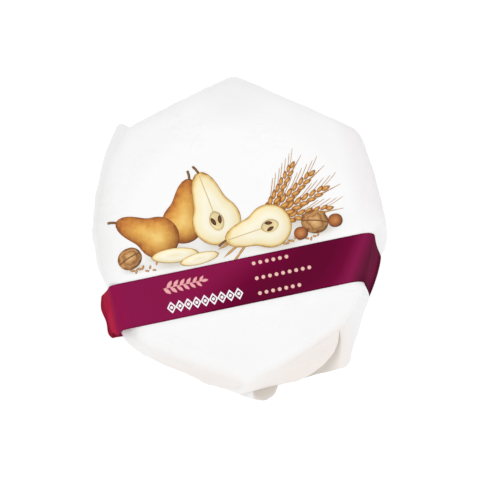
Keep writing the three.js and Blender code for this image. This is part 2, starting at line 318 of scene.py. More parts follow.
# Fineness of the surfaces
TIP_STEPS = 40
TIP_ROWS = 12
CORNER_STEPS = 7
PLEAT_STEPS = 16
SIDE_STEPS = 44
EDGE_LAP = 0.25
FACE_ROWS = 54
RIM_ROWS = 13
WALL_ROWS = 38
UNDER_ROWS = 34
BAND_ACROSS = 41
BAND_ALONG = 90
BAND_DOWN = 48
PLEAT_END = CORNER_STEPS + PLEAT_STEPS  # last column of a side before its free edge
SIDE_COLUMNS = PLEAT_END + 1 + SIDE_STEPS + CORNER_STEPS
COLUMNS = len(CORNERS) * SIDE_COLUMNS

# The middle of the cheese in the pack's frame. The band's foot is the furthest left, the loose tip the
# nearest.
LEFT_FOOT = BAND_LEFT["foot"][1][0]
TIP_REACH = min(y for x, y in LOOSE_TIP)
CHEESE_MIDDLE = (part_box("band")[0][0] / MM - LEFT_FOOT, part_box("wrapped_cheese")[0][1] / MM - TIP_REACH)


# Noise and small geometry

def noise_at(points, size, seed):
    """Soft noise from -1 to 1 at points in millimetres."""
    shift = Vector((seed * 7.31, seed * 3.17, seed * 5.71))
    flat = points.reshape(-1, 3) / size
    values = [noise.noise(Vector(p) + shift) for p in flat]
    return np.array(values).reshape(points.shape[:-1])


def folds_at(points, size, seed):
    """Noise with sharp ridges, up to 1 on them."""
    return 1 - 2 * np.abs(noise_at(points, size, seed))


def smoothstep(value, low, high):
    t = np.clip((value - low) / (high - low), 0, 1)
    return t * t * (3 - 2 * t)


def mix(start, end, share):
    return (1 - share) * start + share * end


def bell(value, middle, width):
    """1 in the middle, softly down to 0 on both sides of it."""
    return np.exp(-((value - middle) / width) ** 2)


def polar(reach, degrees):
    angle = math.radians(degrees)
    return np.array([reach * math.cos(angle), reach * math.sin(angle)])


def spin(degrees):
    """Matrix that turns points in the plane, each a row."""
    return np.array([polar(1, degrees), polar(1, degrees + 90)])


def unit(vector):
    return vector / np.linalg.norm(vector, axis=-1, keepdims=True)


def steps(count, start=0, end=1):
    """Even steps for the rows of a sheet."""
    return np.linspace(start, end, count)[:, None, None]


def curve(start, middle, end, t):
    """Points on the way from start to end that is drawn towards the middle."""
    return (1 - t) ** 2 * start + 2 * t * (1 - t) * middle + t ** 2 * end


def rounded_corner(before, corner, after, cut, t):
    """Points of a rounded corner, t from 0 on the side before it to 1 on the side after it."""
    return curve(corner + unit(before - corner) * cut, corner, corner + unit(after - corner) * cut, t)


def in_frame(x, y, z):
    """A place in the pack's frame, in metres."""
    return Vector((x + CHEESE_MIDDLE[0], y + CHEESE_MIDDLE[1], z)) * MM


def way_down(points):
    """Share of the way from the top face down to the ground."""
    return np.clip(1 - points[..., 2] / PACK_HEIGHT, 0, 1)


# Wrapping paper

def outline(height, notched=1):
    """One point for each column at a height from 0 at the foot to 1 at the top crease: the corner's
    rounding, its pleat, the free edge of the paper over it, the side, the next corner's rounding.
    notched is the share of the notches that it has."""
    corners = [mix(polar(*corner["base"]), polar(*corner["top"]), height) for corner in CORNERS]
    count = len(corners)
    pleat = np.linspace(0, 1, PLEAT_STEPS + 1)
    rounding = np.linspace(0.5, 1, CORNER_STEPS, endpoint=False)[:, None]
    columns = []
    for k, corner in enumerate(CORNERS):
        here, before = corners[k], corners[k - 1]
        after, after_next = corners[(k + 1) % count], corners[(k + 2) % count]
        next_cut = CORNERS[(k + 1) % count]["soft"]
        length = np.linalg.norm(after - here) - corner["soft"] - next_cut
        along = unit(after - here)
        outward = np.array([-along[1], along[0]])
        start = here + along * corner["soft"]
        bow = mix(BASE_BOWS[k], TOP_BOWS[k], height)

        def on_side(f, tuck):
            lift = 4 * f * (1 - f) * bow - tuck
            return start + f[:, None] * length * along + lift[:, None] * outward

        lap = EDGE_LAP / length
        edge = lap + corner["flap"] / length * (1 - height) ** FREE_EDGE_SWEEP
        sunk = height ** POCKET_SWEEP
        hollow = corner["pocket"] * 4 * sunk * (1 - sunk) + corner["step"] * (1 - height)
        notch = notched * corner["notch"] * (1 - height) ** NOTCH_SWEEP
        f = pleat * edge
        tuck = hollow * pleat ** PLEAT_ROLL + np.where(pleat > 0, notch * (1 - f), 0)
        side = edge + lap + (1 - edge - lap) * np.linspace(0, 1, SIDE_STEPS + 1)
        lifted = EDGE_CURL * (1 - height) * min(1, corner["pocket"] / SHUT_POCKET)
        curl = lifted * np.exp(-(side - side[0]) * length / EDGE_CURL_WIDTH)
        columns.append(rounded_corner(before, here, after, corner["soft"], rounding))
        columns.append(on_side(f, tuck))
        columns.append(on_side(side, notch * (1 - side) - curl))
        columns.append(rounded_corner(here, after, after_next, next_cut, rounding[1:] - 0.5))
    return np.concatenate(columns)


def pack_rows():
    """Rows of points from the middle of the top, over the wall, to the middle of the underside, and the
    direction in which each row faces, in radians from straight up."""
    top = outline(1)
    base = outline(0)
    reach = np.linalg.norm(top, axis=1)
    to_next_edge = (np.arange(COLUMNS) - PLEAT_END - 1) % SIDE_COLUMNS / (SIDE_COLUMNS - 1)
    layers = LAYER_STEP * to_next_edge
    corner = smoothstep(reach - CHEESE_RADIUS, 0, CORNER_REACH)
    width = np.maximum(LEAST_ROUND, SHOULDER_ROUND + reach - CHEESE_RADIUS)
    drop = mix(SHOULDER_ROUND, CORNER_DROP, corner)
    power = mix(1, CORNER_SQUARENESS, corner)
    rows, facing = [], []

    def add(points, z, degrees):
        rows.append(np.column_stack([points, np.broadcast_to(z, len(points))]))
        facing.append(math.radians(degrees))

    face_edge = (1 - width / reach)[:, None]
    for share in np.linspace(0, 1, FACE_ROWS + 1)[1:-1]:
        add(top * face_edge * share, PACK_HEIGHT, 0)
    for angle in np.linspace(math.pi / 2, 0, RIM_ROWS, endpoint=False):
        inset = width * (1 - math.cos(angle) ** power)
        z = PACK_HEIGHT - drop * (1 - math.sin(angle) ** power)
        add(top * (1 - inset / reach)[:, None], z, 90 - math.degrees(angle))
    for height in np.linspace(1, 0, WALL_ROWS):
        wall = outline(height)
        wall += unit(wall) * SIDE_BULGE * math.sin(math.pi * height)
        foot = FOOT_ROUND + layers
        add(wall, foot + (PACK_HEIGHT - drop - foot) * height, 90)
    under = base * (1 - FOOT_ROUND / np.linalg.norm(base, axis=1))[:, None]
    add(under, layers, 150)
    for share in np.linspace(1, 0, UNDER_ROWS, endpoint=False)[1:]:
        pressed = max(share - FLAT_MIDDLE, 0) / (1 - FLAT_MIDDLE)
        inner = outline(0, smoothstep(share, *NOTCH_FADE))
        add(inner @ spin(ROSETTE_TURN * (1 - share)) * share, layers * pressed, 180)
    return np.array(rows), np.array(facing)


def band_share(points):
    """Place across the band, 0 at its near edge and 1 at its far edge, for points on or beside it."""
    shares = []
    for side in (BAND_LEFT, BAND_RIGHT):
        near, far = (mix(crease[1], foot[1], way_down(points))
                     for crease, foot in zip(side["crease"], side["foot"]))
        shares.append((points[..., 1] - near) / (far - near))
    return mix(*shares, np.clip((points[..., 0] + BAND_HALF) / (2 * BAND_HALF), 0, 1))


def beside_band(points):
    """Distance from the band's nearer edge, 0 on the band."""
    return np.maximum(np.abs(band_share(points) - 0.5) - 0.5, 0) * BAND_WIDTH


def paper_fan(points, side):
    """How far the paper has come out again beside the band."""
    beyond = beside_band(points)
    return np.where(band_share(points) < 0.5, *side["fan"]) * beyond ** 2 / (beyond + FAN_START)


def face_height(points):
    """Height of the paper on the top face over or under points."""
    flat = points * (1, 1, 0) + (0, 0, PACK_HEIGHT)
    relief = FACE_RELIEF * noise_at(flat, RELIEF_SIZE, 1)
    return PACK_HEIGHT + relief - BAND_PRESS * (1 - smoothstep(beside_band(flat), *PRESSED_FACE))


def crumple(points):
    """Folds and dents of soft paper, as a height along its normal."""
    kinds = (noise_at(points, RELIEF_SIZE, 1), folds_at(points, CRUMPLE_SIZE, 2),
             folds_at(points, CRUMPLE_SIZE / FINE_CRUMPLE, 3))
    return sum(share * kind for share, kind in zip(CRUMPLE_MIX, kinds))


def drape(points):
    """Upright folds of the walls, as a height along their normal."""
    angle = np.arctan2(points[..., 1], points[..., 0])
    wrapped = np.stack([np.cos(angle), np.sin(angle), DRAPE_UPRIGHT * points[..., 2]], axis=-1)
    fold = folds_at(CHEESE_RADIUS * wrapped, DRAPE_SIZE, 6)
    return DRAPE * (fold - DRAPE_LEVEL) * way_down(points)


def press_in(points):
    """Presses the paper in to just behind the band, from where it comes out again on both sides."""
    share = np.clip(band_share(points), 0, 1)
    beyond = beside_band(points)
    past = (band_share(points) - 1) * BAND_WIDTH
    spread = np.where(past > 0, NIP_SPREAD[0] * past, -NIP_SPREAD[1] * past)
    for side, sign in ((BAND_LEFT, -1), (BAND_RIGHT, 1)):
        path = band_side(side, np.array([0, 1]))
        edges = []
        for x, z in zip(path[..., 0].T, path[..., 2].T):
            wall = z > BAND_BOTTOM + PRESS_MARGIN
            edges.append(np.interp(points[..., 2], z[wall][::-1], x[wall][::-1]))
        limit = sign * mix(*edges, share) - 2 * BAND_LIFT + paper_fan(points, side)
        limit = np.minimum(limit, side["nip"] + spread)
        reach = sign * points[..., 0]
        excess = np.where(reach > PRESS_FROM, reach - limit, -1)
        exponent = np.clip(excess / BEND_SOFTNESS, -EXPONENT_LIMIT, EXPONENT_LIMIT)
        softened = BEND_SOFTNESS * np.log1p(np.exp(exponent))
        points[..., 0] -= sign * np.where(reach > PRESS_FROM, softened, 0)
    under = points[..., 2] < PACK_HEIGHT / 2
    least = (BAND_BOTTOM + BAND_LIFT) * (1 - smoothstep(beyond, *PRESSED_FOOT))
    points[..., 2] = np.where(under, np.maximum(points[..., 2], least), points[..., 2])


def pleat_lining_and_shade(facing):
    """How much of the sheet's inner side shows deep in the pleats, with painted shade for their recess."""
    place = (np.arange(COLUMNS) % SIDE_COLUMNS - CORNER_STEPS) / PLEAT_STEPS
    depth = np.repeat([min(1, corner["pocket"] / DEEP_POCKET) for corner in CORNERS], SIDE_COLUMNS)
    shown = np.where(place <= 1, smoothstep(place, 0, LINING_SHADE_WIDTH), 0) * depth ** 2
    wall = (facing > WALL_FACING[0]) & (facing < WALL_FACING[1])
    height = np.zeros(len(facing))
    height[wall] = np.linspace(1, 0, WALL_ROWS)
    return np.outer(np.where(wall, 1 - smoothstep(height, *LINING_SHADE_FADE), 0), shown)


def fold_shade(points, facing):
    """Fine shade along the free edges of the paper, soft on the layer below and narrow on the edge."""
    kind = np.where(np.arange(SIDE_COLUMNS) <= PLEAT_END, 0, 1)
    strength, reach = np.array([FOLD_BELOW, FOLD_ON_EDGE])[kind].T
    shades = []
    for k, corner in enumerate(CORNERS):
        side = points[:, k * SIDE_COLUMNS:(k + 1) * SIDE_COLUMNS]
        away = np.linalg.norm(side - side[:, PLEAT_END:PLEAT_END + 1], axis=2)
        shades.append(min(1, corner["pocket"]) * strength * np.exp(-away / reach))
    faded = smoothstep(1 - way_down(points), *FOLD_FADE)
    return np.concatenate(shades, axis=1) * (1 - faded) * (facing[:, None] > WALL_FACING[0])


def painted_warm_light(facing, points):
    """Painted warm light from the near side on the walls, more so towards their foot."""
    sides = np.interp(np.arange(COLUMNS) / SIDE_COLUMNS, *zip(*WALL_WARM_LIGHT))
    wall = smoothstep(facing, *WARM_LIGHT_FACING) * (facing < WALL_FACING[1])
    return wall[:, None] * sides * mix(WARM_LIGHT_AT_TOP, 1, smoothstep(way_down(points), 0, WARM_LIGHT_DEPTH))


def wrapping_paper():
    """Points of the whole wrapper, crumpled and pressed in under the band, with the values that its
    material reads: the sheet's inner side with painted shade deep in the pleats, painted warm light on
    the walls, painted shade along the free edges, and how near a point is to the face's edge."""
    points, facing = pack_rows()
    tilt = facing[:, None, None]
    upward = np.broadcast_to(np.cos(tilt), points[..., :1].shape)
    normal = np.concatenate([unit(points[..., :2]) * np.sin(tilt), upward], axis=-1)
    free = np.sin(facing)[:, None] * smoothstep(beside_band(points), 0, FREE_PAPER)
    relief = free * (WALL_RELIEF * crumple(points) + drape(points))
    points = points + normal * relief[..., None]
    face, rim = facing == 0, (facing > 0) & (facing < math.pi / 2)
    points[face, :, 2] = face_height(points[face])
    press_in(points)
    points[rim, :, 2] = np.minimum(points[rim, :, 2], face_height(points[rim]))
    points[..., 2] = np.maximum(points[..., 2], LEAST_HEIGHT)
    rows_in = np.minimum(np.arange(1, len(points) + 1) / FACE_ROWS, 1)
    return points, dict(lining_and_shade=pleat_lining_and_shade(facing), warm_light=painted_warm_light(facing, points),
                        fold=fold_shade(points, facing), edge=np.repeat(rows_in[:, None], COLUMNS, axis=1))


# Paper band

def band_side(side, share):
    """Points of the band from where it leaves the top to where it has turned in under the pack, for
    places across it from 0 at the near edge to 1 at the far edge."""
    def across(name, z):
        near, far = (np.array([*point, z]) for point in side[name])
        return mix(near, far, share[:, None])

    crease = across("crease", PACK_HEIGHT - BAND_PRESS + BAND_LIFT)
    foot = across("foot", BAND_BOTTOM)
    inward = np.array([-np.sign(side["foot"][0][0]), 0, 0])
    over = rounded_corner(crease + inward, crease, foot, side["round"], steps(BAND_DOWN // 3))
    under = rounded_corner(crease, foot, foot + inward, BAND_FOOT_ROUND, steps(BAND_DOWN // 6))
    path = np.concatenate([over, mix(over[-1], under[0], steps(BAND_DOWN)[1:-1]), under])
    down = way_down(path)
    hung = side["waist"] * share ** 2 * np.sin(math.pi * down)
    foot_line = side["clip"] * np.exp(-(1 - share) / CLIP_WIDTH) - side["bulge"] * 4 * share * (1 - share)
    path[..., 0] += inward[0] * (hung + foot_line * down ** 2)
    return path


def flutter(path, share):
    """Waves of the loose left end of the band."""
    down = way_down(path)
    wave = np.cos(2 * math.pi * (share - FOOT_WAVE["crest"]) / FOOT_WAVE["length"])
    path[..., 0] -= FOOT_WAVE["depth"] * wave * down ** FOOT_WAVE["growth"]
    path[..., 0] += NEAR_CORNER_PULL * np.exp(-share / NEAR_CORNER_WIDTH) * down ** 2
    lobes = sum(size * bell(down, middle, width) for middle, width, size in LOBES)
    path[..., 1] -= LOBE_DEPTH * np.exp(-share / LOBE_REACH) * lobes
    return path


def paper_band():
    """Points of the band, from its upper lap end, round the pack, to its lower lap end."""
    share = np.linspace(0, 1, BAND_ACROSS)
    left = flutter(band_side(BAND_LEFT, share), share)
    right = band_side(BAND_RIGHT, share)
    top = mix(right[0], left[0], steps(BAND_ALONG)[1:-1])
    top[..., 2] = face_height(top) + BAND_LIFT
    lower = mix(left[-1], right[-1], steps(BAND_ALONG // 2, 0, LAP[1]))
    slope = smoothstep(lower[..., 0], lower[0, 0, 0] + LAP_SLOPE[0], lower[-1, 0, 0] - LAP_SLOPE[1])
    lower[..., 2] -= (BAND_SHEET + LAP_GAP) * slope
    upper = mix(left[-1], right[-1], steps(BAND_ALONG // 2, LAP[0]))
    return np.concatenate([upper[:-1], right[::-1], top, left, lower[1:]])


# The loose tip of the wrapping sheet

def loose_tip():
    """Points of the tip, from under the pack to its free edge, which curls up a little, and where the
    sheet's inner side shows, darkened with painted shade."""
    line = np.array(LOOSE_TIP)
    corner = np.linspace(0, len(line) - 1, TIP_STEPS)
    edge = np.column_stack([np.interp(corner, np.arange(len(line)), line[:, i]) for i in (0, 1)])
    padded = np.pad(edge, ((2, 2), (0, 0)), mode="edge")
    edge = np.column_stack([np.convolve(padded[:, i], TIP_SMOOTHING, mode="valid") for i in (0, 1)])
    root = np.column_stack([np.linspace(line[0, 0], line[-1, 0], TIP_STEPS), np.full(TIP_STEPS, TIP_ROOT_Y)])
    flat = mix(root, edge, steps(TIP_ROWS))
    share = steps(TIP_ROWS)[..., 0]
    height = mix(TIP_HEIGHT, TIP_EDGE, share) + TIP_CURL * share ** 5
    height = height + TIP_WAVE * np.sin(flat[..., 0] * TIP_WAVE_TURN)
    # where the sheet's inner side shows, coloured with the lining and its painted shade
    inner = smoothstep(flat[..., 0], TIP_FOLD - TIP_FOLD_WIDTH, TIP_FOLD + TIP_FOLD_WIDTH)
    inner = inner * (1 - TIP_RIM[1] * smoothstep(share, TIP_RIM[0], 1))
    return np.concatenate([flat, height[..., None]], axis=-1), inner


# Meshes

def sheet_faces(rows, columns, closed=False, first=0):
    """Faces of a sheet of rows and columns that may close round, from the point with number first."""
    pairs = [(j, (j + 1) % columns) for j in range(columns if closed else columns - 1)]
    return [
        (low + j, low + right, low + columns + right, low + columns + j)
        for low in range(first, first + (rows - 1) * columns, columns) for j, right in pairs
    ]


def closed_faces(rows, columns):
    """Faces of rows that close round, with one point above the first row and one below the last."""
    faces = sheet_faces(rows, columns, closed=True, first=1)
    last = 1 + rows * columns
    for j in range(columns):
        right = (j + 1) % columns
        faces.append((0, 1 + right, 1 + j))
        faces.append((last, last - columns + j, last - columns + right))
    return faces


def new_object(name, data):
    """An object in the scene."""
    made = bpy.data.objects.new(name, data)
    bpy.context.scene.collection.objects.link(made)
    return made


def write_values(mesh, values):
    """Writes named values for the points of a mesh."""
    for key, numbers in values.items():
        attribute = mesh.attributes.new(key, "FLOAT", "POINT")
        attribute.data.foreach_set("value", np.asarray(numbers, dtype=np.float32).ravel())


def make_mesh(name, points, faces, material, values, sharp=None):
    """A piece in the pack's frame from points in millimetres, with named values for its points."""
    mesh = bpy.data.meshes.new(name)
    moved = points.reshape(-1, 3) + np.array([*CHEESE_MIDDLE, 0])
    mesh.from_pydata((moved * MM).tolist(), [], faces)
    mesh.shade_smooth()
    if sharp:
        mesh.set_sharp_from_angle(angle=math.radians(sharp))
    write_values(mesh, values)
    mesh.materials.append(material)
    return new_object(name, mesh)


def thicken(piece, thickness, offset):
    """Gives a sheet its thickness, in millimetres."""
    solidify = piece.modifiers.new("thickness", "SOLIDIFY")
    solidify.thickness = thickness * MM
    solidify.offset = offset


# Flat printed shapes, each a set of points, faces and values: rim is 0 in the middle and 1 at the edge,
# light is how much of the painted light falls on the point

def patch(reach, steep, rings, spokes, turn=0.0, hole=0.0):
    """A shape round its middle, out to reach(angle), painted as if it were as steep as steep at its rim."""
    angle = np.linspace(0, 2 * math.pi, spokes, endpoint=False)
    edge = reach(angle)[:, None] * np.column_stack([np.cos(angle + turn), np.sin(angle + turn)])
    along = np.roll(edge, -1, axis=0) - np.roll(edge, 1, axis=0)
    outward = unit(np.column_stack([along[:, 1], -along[:, 0]]))
    share = np.linspace(hole, 1, rings + 1)[:, None]
    slope = steep * share ** 2
    facing = (PAINT_LIGHT[2] + slope * (outward @ PAINT_LIGHT[:2])) / np.sqrt(1 + slope ** 2)
    light = mix(PAINT_SHADE, 1, np.clip(facing / PAINT_LIGHT[2], 0, PAINT_HIGHLIGHT))
    points = np.zeros((rings + 1, spokes, 3))
    points[..., :2] = share[..., None] * edge
    faces = [(a, d, c, b) for a, b, c, d in sheet_faces(rings + 1, spokes, closed=True)]
    rim = np.broadcast_to(share, light.shape)
    if hole == 0:
        points, light, rim = (np.concatenate([part[:1, 0], part[1:].reshape(-1, *part.shape[2:])])
                              for part in (points, light, rim))
        faces = [tuple(max(0, corner - spokes + 1) for corner in face) for face in faces]
        faces = [face[1:] if face[0] == face[3] else face for face in faces]
    return dict(points=points.reshape(-1, 3), faces=faces, rim=rim.ravel(), light=light.ravel())


def strip(line, width, count=14):
    """A thin stroke along a smooth curve over three points, with pointed ends."""
    t = np.linspace(0, 1, count)[:, None]
    path = curve(*(np.array(point, dtype=float) for point in line), t)
    along = unit(np.gradient(path, axis=0))
    across = np.column_stack([-along[:, 1], along[:, 0]]) * width / 2
    across *= np.minimum(1, STROKE_WIDENING * np.sqrt(t * (STROKE_END - t)))
    points = np.zeros((3, count, 3))
    points[..., :2] = [path - across, path, path + across]
    faces = [face[::-1] for face in sheet_faces(3, count)]
    return dict(points=points.reshape(-1, 3), faces=faces, rim=np.repeat([1, 0, 1], count),
                light=np.repeat(STROKE_LIGHT, count))


def placed(shape, centre=(0, 0), degrees=0, scale=1.0, lift=0.0):
    """A copy of a shape, turned and moved on the face."""
    points = shape["points"] * scale
    points[:, :2] = points[:, :2] @ spin(degrees)
    return {**shape, "points": points + np.array([*centre, lift])}


def joined(shapes):
    """One shape from several, in order."""
    starts = np.cumsum([0] + [len(shape["points"]) for shape in shapes])
    faces = [tuple(corner + start for corner in face)
             for start, shape in zip(starts, shapes) for face in shape["faces"]]
    parts = {key: np.concatenate([shape[key] for shape in shapes]) for key in ("points", "rim", "light")}
    return dict(faces=faces, **parts)


def stacked(things, make, lift=0.0):
    """One shape from make(size, degrees) at each thing's middle, every next one a lift higher."""
    return joined([placed(make(size, degrees), middle, lift=lift * k)
                   for k, (middle, size, degrees) in enumerate(things)])


def flat_oval(name, size=1, degrees=0, hole=0.0):
    """One of the ovals. Power 2 is an ellipse, 1 a lozenge."""
    length, width, power, steep, rings, spokes = OVALS[name]

    def reach(angle):
        return ((np.abs(np.cos(angle)) / (length * size)) ** power
                + (np.abs(np.sin(angle)) / (width * size)) ** power) ** (-1 / power)
    return placed(patch(reach, steep, rings, spokes, hole=hole), degrees=degrees)


def flat_pear(steep, size, degrees):
    """A pear round the middle of its bulb, with its neck in a direction."""
    def reach(angle):
        angle = (angle + math.pi) % (2 * math.pi) - math.pi
        return size * (1 + PEAR_NECK * bell(angle, 0, PEAR_NECK_WIDTH))
    return patch(reach, steep, PEAR_RINGS, PEAR_SPOKES, math.radians(degrees))


# Trees of nodes

def fill(tree, made, inputs):
    """Sets or links inputs of a node."""
    for key, value in inputs.items():
        if isinstance(value, bpy.types.NodeSocket):
            tree.links.new(value, made.inputs[key])
        else:
            made.inputs[key].default_value = value


def node(tree, kind, inputs=None, **settings):
    """A node with its settings, and its inputs set or linked."""
    made = tree.nodes.new(kind)
    for key, value in settings.items():
        setattr(made, key, value)
    fill(tree, made, inputs or {})
    return made


def calc(tree, operation, *values):
    """Result of a sum on sockets or numbers."""
    return node(tree, "ShaderNodeMath", dict(enumerate(values)), operation=operation).outputs[0]


def product(tree, result, *factors):
    for factor in factors:
        result = calc(tree, "MULTIPLY", result, factor)
    return result


def vector_calc(tree, operation, *values):
    """Outputs of a sum on vectors."""
    return node(tree, "ShaderNodeVectorMath", dict(enumerate(values)), operation=operation).outputs


def titled(values):
    """Values with the names of sockets."""
    return {key.replace("_", " ").title(): value for key, value in values.items()}


def new_group(name, kind, inputs, outputs):
    """A node group with its named sockets, and its input and output nodes."""
    tree = bpy.data.node_groups.new(name, kind)
    for socket, sort, default in inputs:
        made = tree.interface.new_socket(socket, in_out="INPUT", socket_type="NodeSocket" + sort)
        if default is not None:
            made.default_value = default
    for socket, sort in outputs:
        tree.interface.new_socket(socket, in_out="OUTPUT", socket_type="NodeSocket" + sort)
    return tree, tree.nodes.new("NodeGroupInput").outputs, tree.nodes.new("NodeGroupOutput").inputs


def row_tree():
    """Repeats a shape in a row along X."""
    tree, given, result = new_group("row_of_copies", "GeometryNodeTree", [
        ("Geometry", "Geometry", None), ("Count", "Int", 5), ("Seed", "Int", 0), ("Spacing", "Float", 1.0),
        *((name, "Float", 0.0) for name in ("Side Step", "Lean", "Taper", "Wander", "Lift Step")),
        ("Material", "Material", None),
    ], [("Geometry", "Geometry")])
    index = node(tree, "GeometryNodeInputIndex").outputs[0]
    side = calc(tree, "MULTIPLY_ADD", calc(tree, "MODULO", index, 2.0), 2.0, -1.0)
    progress = calc(tree, "DIVIDE", index, given["Count"])
    size = calc(tree, "SUBTRACT", 1.0, product(tree, progress, given["Taper"]))
    chance = node(tree, "FunctionNodeRandomValue", {"Seed": given["Seed"]}, data_type="FLOAT")
    chance.inputs[2].default_value = -1
    drift = product(tree, chance.outputs[1], given["Wander"])
    move = node(tree, "ShaderNodeCombineXYZ", {
        "X": product(tree, index, given["Spacing"]),
        "Y": calc(tree, "MULTIPLY_ADD", product(tree, side, size), given["Side Step"], drift),
        "Z": product(tree, index, given["Lift Step"])})
    lean = node(tree, "ShaderNodeCombineXYZ", {
        "Z": product(tree, side, calc(tree, "RADIANS", given["Lean"]))})
    line = node(tree, "GeometryNodeMeshLine", {"Count": given["Count"], "Offset": (0, 0, 0)})
    spread = node(tree, "GeometryNodeSetPosition", {"Geometry": line.outputs[0], "Offset": move.outputs[0]})
    turned = node(tree, "FunctionNodeEulerToRotation", {0: lean.outputs[0]})
    copies = node(tree, "GeometryNodeInstanceOnPoints", {
        "Points": spread.outputs[0], "Instance": given["Geometry"], "Rotation": turned.outputs[0],
        "Scale": size})
    real = node(tree, "GeometryNodeRealizeInstances", {0: copies.outputs[0]})
    coated = node(tree, "GeometryNodeSetMaterial", {
        "Geometry": real.outputs[0], "Material": given["Material"]})
    tree.links.new(coated.outputs[0], result["Geometry"])
    return tree


def in_row(shape, material, **sizes):
    """A shape repeated in a row along X. The sizes are those of the tree, in millimetres and degrees."""
    mesh = bpy.data.meshes.new("row")
    mesh.from_pydata(shape["points"].tolist(), [], shape["faces"])
    write_values(mesh, dict(rim=shape["rim"], light=shape["light"]))
    holder = new_object("row", mesh)
    modifier = holder.modifiers.new("row", "NODES")
    modifier.node_group = ROW_TREE
    sockets = {item.name: item.identifier
               for item in ROW_TREE.interface.items_tree if item.in_out == "INPUT"}
    for name, value in {"Material": material, **titled(sizes)}.items():
        modifier[sockets[name]] = value
    shown = bpy.context.evaluated_depsgraph_get()
    made = bpy.data.meshes.new_from_object(holder.evaluated_get(shown), preserve_all_data_layers=True,
                                           depsgraph=shown)
    points = np.zeros(len(made.vertices) * 3, dtype=np.float32)
    made.vertices.foreach_get("co", points)
    values = {}
    for key in ("rim", "light"):
        values[key] = np.zeros(len(made.vertices), dtype=np.float32)
        made.attributes[key].data.foreach_get("value", values[key])
    faces = [tuple(face.vertices) for face in made.polygons]
    bpy.data.objects.remove(holder)
    bpy.data.meshes.remove(mesh)
    bpy.data.meshes.remove(made)
    return dict(points=points.reshape(-1, 3).astype(float), faces=faces, **values)


# Materials

def tint(red, green, blue):
    """Colour of a shader from a colour as it shows, 0 to 255."""
    shares = np.array([red, green, blue]) / 255
    linear = np.where(shares <= 0.04045, shares / 12.92, ((shares + 0.055) / 1.055) ** 2.4)
    return (*linear.tolist(), 1)


def position(tree):
    return node(tree, "ShaderNodeTexCoord").outputs["Object"]


def noise_texture(tree, scale, detail, stretch=(1, 1, 1), output="Fac"):
    """Noise of Object coordinates."""
    mapped = node(tree, "ShaderNodeMapping", {"Vector": position(tree), "Scale": stretch})
    return node(tree, "ShaderNodeTexNoise", {
        "Vector": mapped.outputs[0], "Scale": scale, "Detail": detail}).outputs[output]


def from_range(tree, value, low, high, out_low=0.0, out_high=1.0):
    """Value brought softly from one range to another."""
    return node(tree, "ShaderNodeMapRange", {
        "Value": value, "From Min": low, "From Max": high, "To Min": out_low, "To Max": out_high,
    }, interpolation_type="SMOOTHSTEP").outputs[0]


def axis_range(tree, axis, low, high, out_low=0.0, out_high=1.0):
    """Value that goes softly from one number to another along an axis, from low to high in millimetres."""
    place = node(tree, "ShaderNodeSeparateXYZ", {0: position(tree)}).outputs[axis]
    return from_range(tree, place, low * MM, high * MM, out_low, out_high)


def ramp(tree, value, stops):
    """Colour for a value from stops of a place and a colour as it shows."""
    made = node(tree, "ShaderNodeValToRGB", {"Fac": value})
    elements = made.color_ramp.elements
    while len(elements) < len(stops):
        elements.new(1.0)
    for element, (place, colour) in zip(elements, stops):
        element.position = place
        element.color = tint(*colour)
    return made.outputs[0]


def painted(tree, below, colour, share):
    """A colour as it shows, laid over the one below in a share."""
    return node(tree, "ShaderNodeMix", {0: share, 6: below, 7: tint(*colour)}, data_type="RGBA").outputs[2]


def scaled(tree, vector, factor):
    """A colour or a vector times a factor."""
    return node(tree, "ShaderNodeVectorMath", {0: vector, "Scale": factor}, operation="SCALE").outputs[0]


def attribute(tree, name):
    return node(tree, "ShaderNodeAttribute", attribute_name=name).outputs["Fac"]


def paper_surface():
    """Uneven tone and fine fibre of a paper."""
    tree, given, result = new_group("paper_surface", "ShaderNodeTree", [
        ("Mottle Scale", "Float", 90.0), ("Mottle Amount", "Float", 0.03),
        ("Fibre Scale", "Float", 1500.0), ("Crease Amount", "Float", 0.0),
    ], [("Tone", "Float"), ("Height", "Float")])
    mottle = calc(tree, "SUBTRACT", noise_texture(tree, given["Mottle Scale"], 3.0), 0.5)
    tree.links.new(calc(tree, "MULTIPLY_ADD", mottle, given["Mottle Amount"], 1.0), result["Tone"])
    along = noise_texture(tree, given["Fibre Scale"], 2.0, (1, 0.25, 0.6))
    across = noise_texture(tree, given["Fibre Scale"], 2.0, (0.3, 1, 0.8))
    fibre = calc(tree, "ADD", along, across)
    bent = scaled(tree, noise_texture(tree, CREASE_BEND_SCALE, 2.0, output="Color"), CREASE_BEND)
    cells = node(tree, "ShaderNodeTexVoronoi", {
        "Vector": vector_calc(tree, "ADD", position(tree), bent)[0], "Scale": CREASE_SCALE,
    }, feature="DISTANCE_TO_EDGE").outputs["Distance"]
    crease = from_range(tree, cells, 0.0, CREASE_WIDTH)
    patches = from_range(tree, noise_texture(tree, CRINKLE_PATCH_SCALE, 1.0), *CRINKLE_PATCHES)
    waves = calc(tree, "SUBTRACT", noise_texture(tree, CRINKLE_SCALE, 2.0), 0.5)
    crinkle = product(tree, calc(tree, "ABSOLUTE", waves), patches)
    creased = product(tree, calc(tree, "ADD", crease, crinkle), given["Crease Amount"])
    tree.links.new(calc(tree, "MULTIPLY_ADD", fibre, FIBRE_HEIGHT, creased), result["Height"])
    return tree


def soft_spot():
    """Mask of a soft oval spot: 1 in its middle, 0 outside."""
    tree, given, result = new_group("soft_spot", "ShaderNodeTree", [
        ("Middle", "Vector", (0, 0, 0)), ("Reach", "Vector", (1, 1, 1)), ("Softness", "Float", 0.8),
    ], [("Mask", "Float")])
    off = vector_calc(tree, "SUBTRACT", position(tree), given["Middle"])[0]
    away = vector_calc(tree, "LENGTH", vector_calc(tree, "DIVIDE", off, given["Reach"])[0])["Value"]
    inner = calc(tree, "SUBTRACT", 1.0, given["Softness"])
    tree.links.new(from_range(tree, away, inner, 1.0, 1.0, 0.0), result["Mask"])
    return tree


